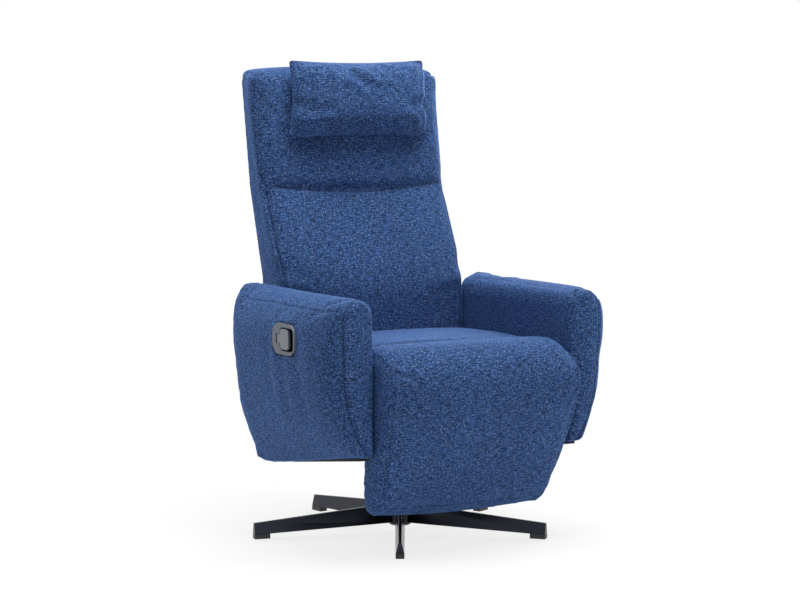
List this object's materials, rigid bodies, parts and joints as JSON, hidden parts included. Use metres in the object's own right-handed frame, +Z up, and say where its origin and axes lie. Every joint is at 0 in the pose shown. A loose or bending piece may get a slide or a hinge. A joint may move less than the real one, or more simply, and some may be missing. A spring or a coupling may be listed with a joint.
{
  "type": "swivel recliner",
  "caption": "High-backed upholstered swivel recliner on a star base, with padded arms, a fold-out footrest, a recessed release paddle and a sliding head pillow.",
  "frame": {"origin": "on the floor, under the middle of the chair's bounding box; the swivel axis stands 29 mm behind it", "axes": "+Z up, the chair faces -Y, the sitter's right arm with the release paddle lies at -X"},
  "size_m": [0.759, 0.794, 1.1077],
  "materials": {
    "fabric": "blue woven melange upholstery",
    "black_steel": "satin black powder coat",
    "zinc_steel": "zinc plated",
    "chrome_rod": "polished",
    "plywood": "raw birch plywood",
    "grey_plastic": "satin dark grey",
    "black_plastic": "matte black",
    "black_cloth": "black non-woven lining",
    "webbing": "black elastic webbing"
  },
  "bodies": {
    "base": {"star_arm_1": "black_steel", "star_arm_2": "black_steel", "star_arm_3": "black_steel", "star_arm_4": "black_steel", "star_arm_5": "black_steel", "glide_1": "black_plastic", "glide_2": "black_plastic", "glide_3": "black_plastic", "glide_4": "black_plastic", "glide_5": "black_plastic", "base_hub": "black_steel", "base_column": "zinc_steel", "swivel_bush": "black_plastic"},
    "chassis": {"swivel_socket": "black_steel", "mount_plate": "black_steel", "chassis_rail_right": "black_steel", "chassis_rail_left": "black_steel", "cross_tube_front": "black_steel", "cross_tube_rear": "black_steel", "seat_runner_right": "zinc_steel", "seat_runner_left": "zinc_steel", "arm_cushion_right": "fabric", "arm_cushion_left": "fabric", "arm_board_right": "plywood", "arm_board_left": "plywood", "arm_underside_right": "black_cloth", "arm_underside_left": "black_cloth", "handle_bezel": "grey_plastic", "release_cable": "black_plastic", "recline_strut_tube": "black_steel", "recline_bracket_right": "black_steel", "recline_bracket_left": "black_steel", "rear_apron": "fabric"},
    "paddle": {"release_paddle": "black_plastic"},
    "seat": {"seat_rail_right": "black_steel", "seat_rail_left": "black_steel", "seat_bar_front": "black_steel", "seat_bar_rear": "black_steel", "seat_webbing": "webbing", "seat_cushion": "fabric", "footrest_axle": "zinc_steel", "footrest_strut_tube": "black_steel"},
    "footrest": {"footrest_pad": "fabric", "footrest_board": "plywood", "footrest_lining": "black_cloth", "footrest_hinge_right": "black_steel", "footrest_hinge_left": "black_steel"},
    "footrest_rod": {"footrest_strut_rod": "chrome_rod"},
    "backrest": {"lumbar_cushion": "fabric", "head_cushion": "fabric", "back_cover": "fabric", "back_tube_right": "black_steel", "back_tube_left": "black_steel", "back_top_tube": "black_steel", "back_lower_tube": "black_steel", "pillow_strap": "webbing", "pillow_strap_rear": "webbing"},
    "recline_rod": {"recline_strut_rod": "chrome_rod"},
    "pillow": {"head_pillow": "fabric"},
    "counterweight": {"pillow_weight": "fabric"}
  },
  "joints": [
    {"name": "swivel", "type": "hinge", "parent": "base", "child": "chassis", "pos_m": [0, 0.0292, 0.2], "axis": [0, 0, 1], "continuous": true},
    {"name": "recline", "type": "hinge", "parent": "chassis", "child": "backrest", "pos_m": [0, 0.1942, 0.338], "axis": [-1, 0, 0], "range_deg": [0, 28]},
    {"name": "seat_slide", "type": "slide", "parent": "chassis", "child": "seat", "axis": [0, -1, 0], "range_m": [0, 0.05]},
    {"name": "recline_strut", "type": "slide", "parent": "chassis", "child": "recline_rod", "axis": [0, -1, 0], "range_m": [0, 0.0243]},
    {"name": "footrest_fold", "type": "hinge", "parent": "seat", "child": "footrest", "pos_m": [0, -0.3018, 0.39], "axis": [-1, 0, 0], "range_deg": [0, 100]},
    {"name": "footrest_strut", "type": "slide", "parent": "seat", "child": "footrest_rod", "axis": [0, -1, 0], "range_m": [0, 0.205]},
    {"name": "paddle_pull", "type": "hinge", "parent": "chassis", "child": "paddle", "pos_m": [-0.3746, -0.0888, 0.488], "axis": [0, 0, -1], "range_deg": [0, 25], "stiffness_Nm_per_rad": 0.1},
    {"name": "pillow_height", "type": "slide", "parent": "backrest", "child": "pillow", "axis": [0, -0.1564, -0.9877], "range_m": [0, 0.12]},
    {"name": "counterweight_height", "type": "slide", "parent": "backrest", "child": "counterweight", "axis": [0, 0.1666, 0.986], "range_m": [0, 0.12]}
  ],
  "couplings": [
    {"joint": "seat_slide", "follows": "recline", "m_per_rad": 0.1023},
    {"joint": "recline_strut", "follows": "recline", "m_per_rad": 0.0495},
    {"joint": "footrest_strut", "follows": "footrest_fold", "m_per_rad": 0.1173},
    {"joint": "counterweight_height", "follows": "pillow_height", "ratio": 1}
  ]
}
